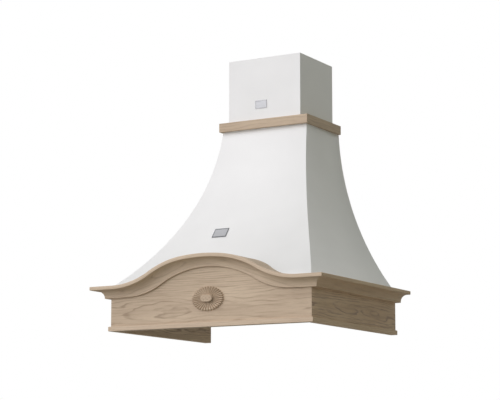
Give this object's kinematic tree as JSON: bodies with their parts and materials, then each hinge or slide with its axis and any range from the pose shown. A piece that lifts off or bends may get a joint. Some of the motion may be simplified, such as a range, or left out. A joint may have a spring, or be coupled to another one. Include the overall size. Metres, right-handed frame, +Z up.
{
  "type": "wall chimney hood",
  "caption": "Wall-hung chimney hood: arched wooden frame with moulded cornice and carved rosette, white flared canopy, wooden collar and telescopic chimney.",
  "frame": {"origin": "under the middle of the overall plan, level with the bottom of the wooden frame", "axes": "+X to the right seen from the front, +Y towards the wall, +Z up"},
  "size_m": [0.9, 0.678, 1.0003],
  "materials": {
    "ash_wood": "bleached ash with a matt clear finish",
    "pine_wood": "planed softwood",
    "white_enamel": "smooth satin white paint",
    "galvanised_steel": "dull zinc coat",
    "satin_steel": "brushed stainless steel",
    "filter_aluminium": "satin aluminium",
    "filter_mesh": "layers of expanded aluminium mesh",
    "chrome": "bright plated",
    "lamp_glass": "frosted glass",
    "black_plastic": "semi gloss moulded plastic",
    "grey_plastic": "fine textured plastic",
    "black_matte_plastic": "matt moulded plastic",
    "duct_plastic": "moulded plastic",
    "magnet": "magnet in a plastic carrier",
    "motor_iron": "dark varnished laminations",
    "bright_steel": "ground steel",
    "badge_metal": "satin plate, blank"
  },
  "bodies": {
    "hood": {"front_apron": "ash_wood", "side_panel_left": "ash_wood", "side_panel_right": "ash_wood", "bead_front": "ash_wood", "bead_left": "ash_wood", "bead_right": "ash_wood", "cornice_front": "ash_wood", "cornice_left": "ash_wood", "cornice_right": "ash_wood", "arch_cap": "ash_wood", "rosette_ring": "ash_wood", "rosette_boss": "ash_wood", "collar_front": "ash_wood", "collar_left": "ash_wood", "collar_right": "ash_wood", "rear_rail": "pine_wood", "corner_block_left": "pine_wood", "corner_block_right": "pine_wood", "batten_left": "pine_wood", "batten_right": "pine_wood", "canopy_front": "white_enamel", "canopy_left": "white_enamel", "canopy_right": "white_enamel", "canopy_top_plate": "white_enamel", "chimney_lower": "white_enamel", "canopy_cleats": "galvanised_steel", "cross_members": "galvanised_steel", "scroll_housing": "galvanised_steel", "outlet_box": "galvanised_steel", "duct_pipe": "galvanised_steel", "pan_screws": "galvanised_steel", "insert_pan": "satin_steel", "filter_magnets": "magnet", "lamp_left": "chrome", "lamp_right": "chrome", "lamp_lens_left": "lamp_glass", "lamp_lens_right": "lamp_glass", "control_fascia": "grey_plastic", "terminal_box": "black_matte_plastic", "cable_gland": "black_matte_plastic", "motor": "motor_iron", "chimney_badge": "badge_metal", "canopy_badge": "badge_metal"},
    "upper_chimney": {"chimney_upper": "white_enamel", "chimney_bracket": "galvanised_steel"},
    "rotor": {"motor_shaft": "bright_steel", "blower_wheel": "duct_plastic"},
    "filter_left": {"filter_frame_left": "filter_aluminium", "filter_mesh_left": "filter_mesh"},
    "handle_left": {"filter_handle_left": "chrome"},
    "flap_left": {"damper_flap_left": "duct_plastic"},
    "filter_right": {"filter_frame_right": "filter_aluminium", "filter_mesh_right": "filter_mesh"},
    "handle_right": {"filter_handle_right": "chrome"},
    "flap_right": {"damper_flap_right": "duct_plastic"},
    "light_button_cap": {"light_button": "black_plastic"},
    "stop_button_cap": {"stop_button": "black_plastic"},
    "speed_button_low_cap": {"speed_button_low": "black_plastic"},
    "speed_button_middle_cap": {"speed_button_middle": "black_plastic"},
    "speed_button_high_cap": {"speed_button_high": "black_plastic"}
  },
  "joints": [
    {"name": "chimney_slide", "type": "slide", "parent": "hood", "child": "upper_chimney", "axis": [0, 0, 1], "range_m": [0, 0.2]},
    {"name": "blower_spin", "type": "hinge", "parent": "hood", "child": "rotor", "pos_m": [0, 0.12, 0.2513], "axis": [1, 0, 0], "continuous": true},
    {"name": "filter_left_drop", "type": "hinge", "parent": "hood", "child": "filter_left", "pos_m": [-0.165, 0.225, 0.069], "axis": [1, 0, 0], "range_deg": [0, 75]},
    {"name": "handle_left_swing", "type": "hinge", "parent": "filter_left", "child": "handle_left", "pos_m": [-0.165, -0.083, 0.061], "axis": [1, 0, 0], "range_deg": [-80, 80]},
    {"name": "flap_left_swing", "type": "hinge", "parent": "hood", "child": "flap_left", "pos_m": [-0.004, 0.214, 0.4263], "axis": [0, 1, 0], "range_deg": [0, 80]},
    {"name": "filter_right_drop", "type": "hinge", "parent": "hood", "child": "filter_right", "pos_m": [0.165, 0.225, 0.069], "axis": [1, 0, 0], "range_deg": [0, 75]},
    {"name": "handle_right_swing", "type": "hinge", "parent": "filter_right", "child": "handle_right", "pos_m": [0.165, -0.083, 0.061], "axis": [1, 0, 0], "range_deg": [-80, 80]},
    {"name": "flap_right_swing", "type": "hinge", "parent": "hood", "child": "flap_right", "pos_m": [0.004, 0.214, 0.4263], "axis": [0, -1, 0], "range_deg": [0, 80]},
    {"name": "light_button_press", "type": "slide", "parent": "hood", "child": "light_button_cap", "axis": [0, 0, 1], "range_m": [0, 0.0025], "stiffness_N_per_m": 400, "springref_m": -0.002},
    {"name": "stop_button_press", "type": "slide", "parent": "hood", "child": "stop_button_cap", "axis": [0, 0, 1], "range_m": [0, 0.0025], "stiffness_N_per_m": 400, "springref_m": -0.002},
    {"name": "speed_button_low_press", "type": "slide", "parent": "hood", "child": "speed_button_low_cap", "axis": [0, 0, 1], "range_m": [0, 0.0025], "stiffness_N_per_m": 400, "springref_m": -0.002},
    {"name": "speed_button_middle_press", "type": "slide", "parent": "hood", "child": "speed_button_middle_cap", "axis": [0, 0, 1], "range_m": [0, 0.0025], "stiffness_N_per_m": 400, "springref_m": -0.002},
    {"name": "speed_button_high_press", "type": "slide", "parent": "hood", "child": "speed_button_high_cap", "axis": [0, 0, 1], "range_m": [0, 0.0025], "stiffness_N_per_m": 400, "springref_m": -0.002}
  ]
}
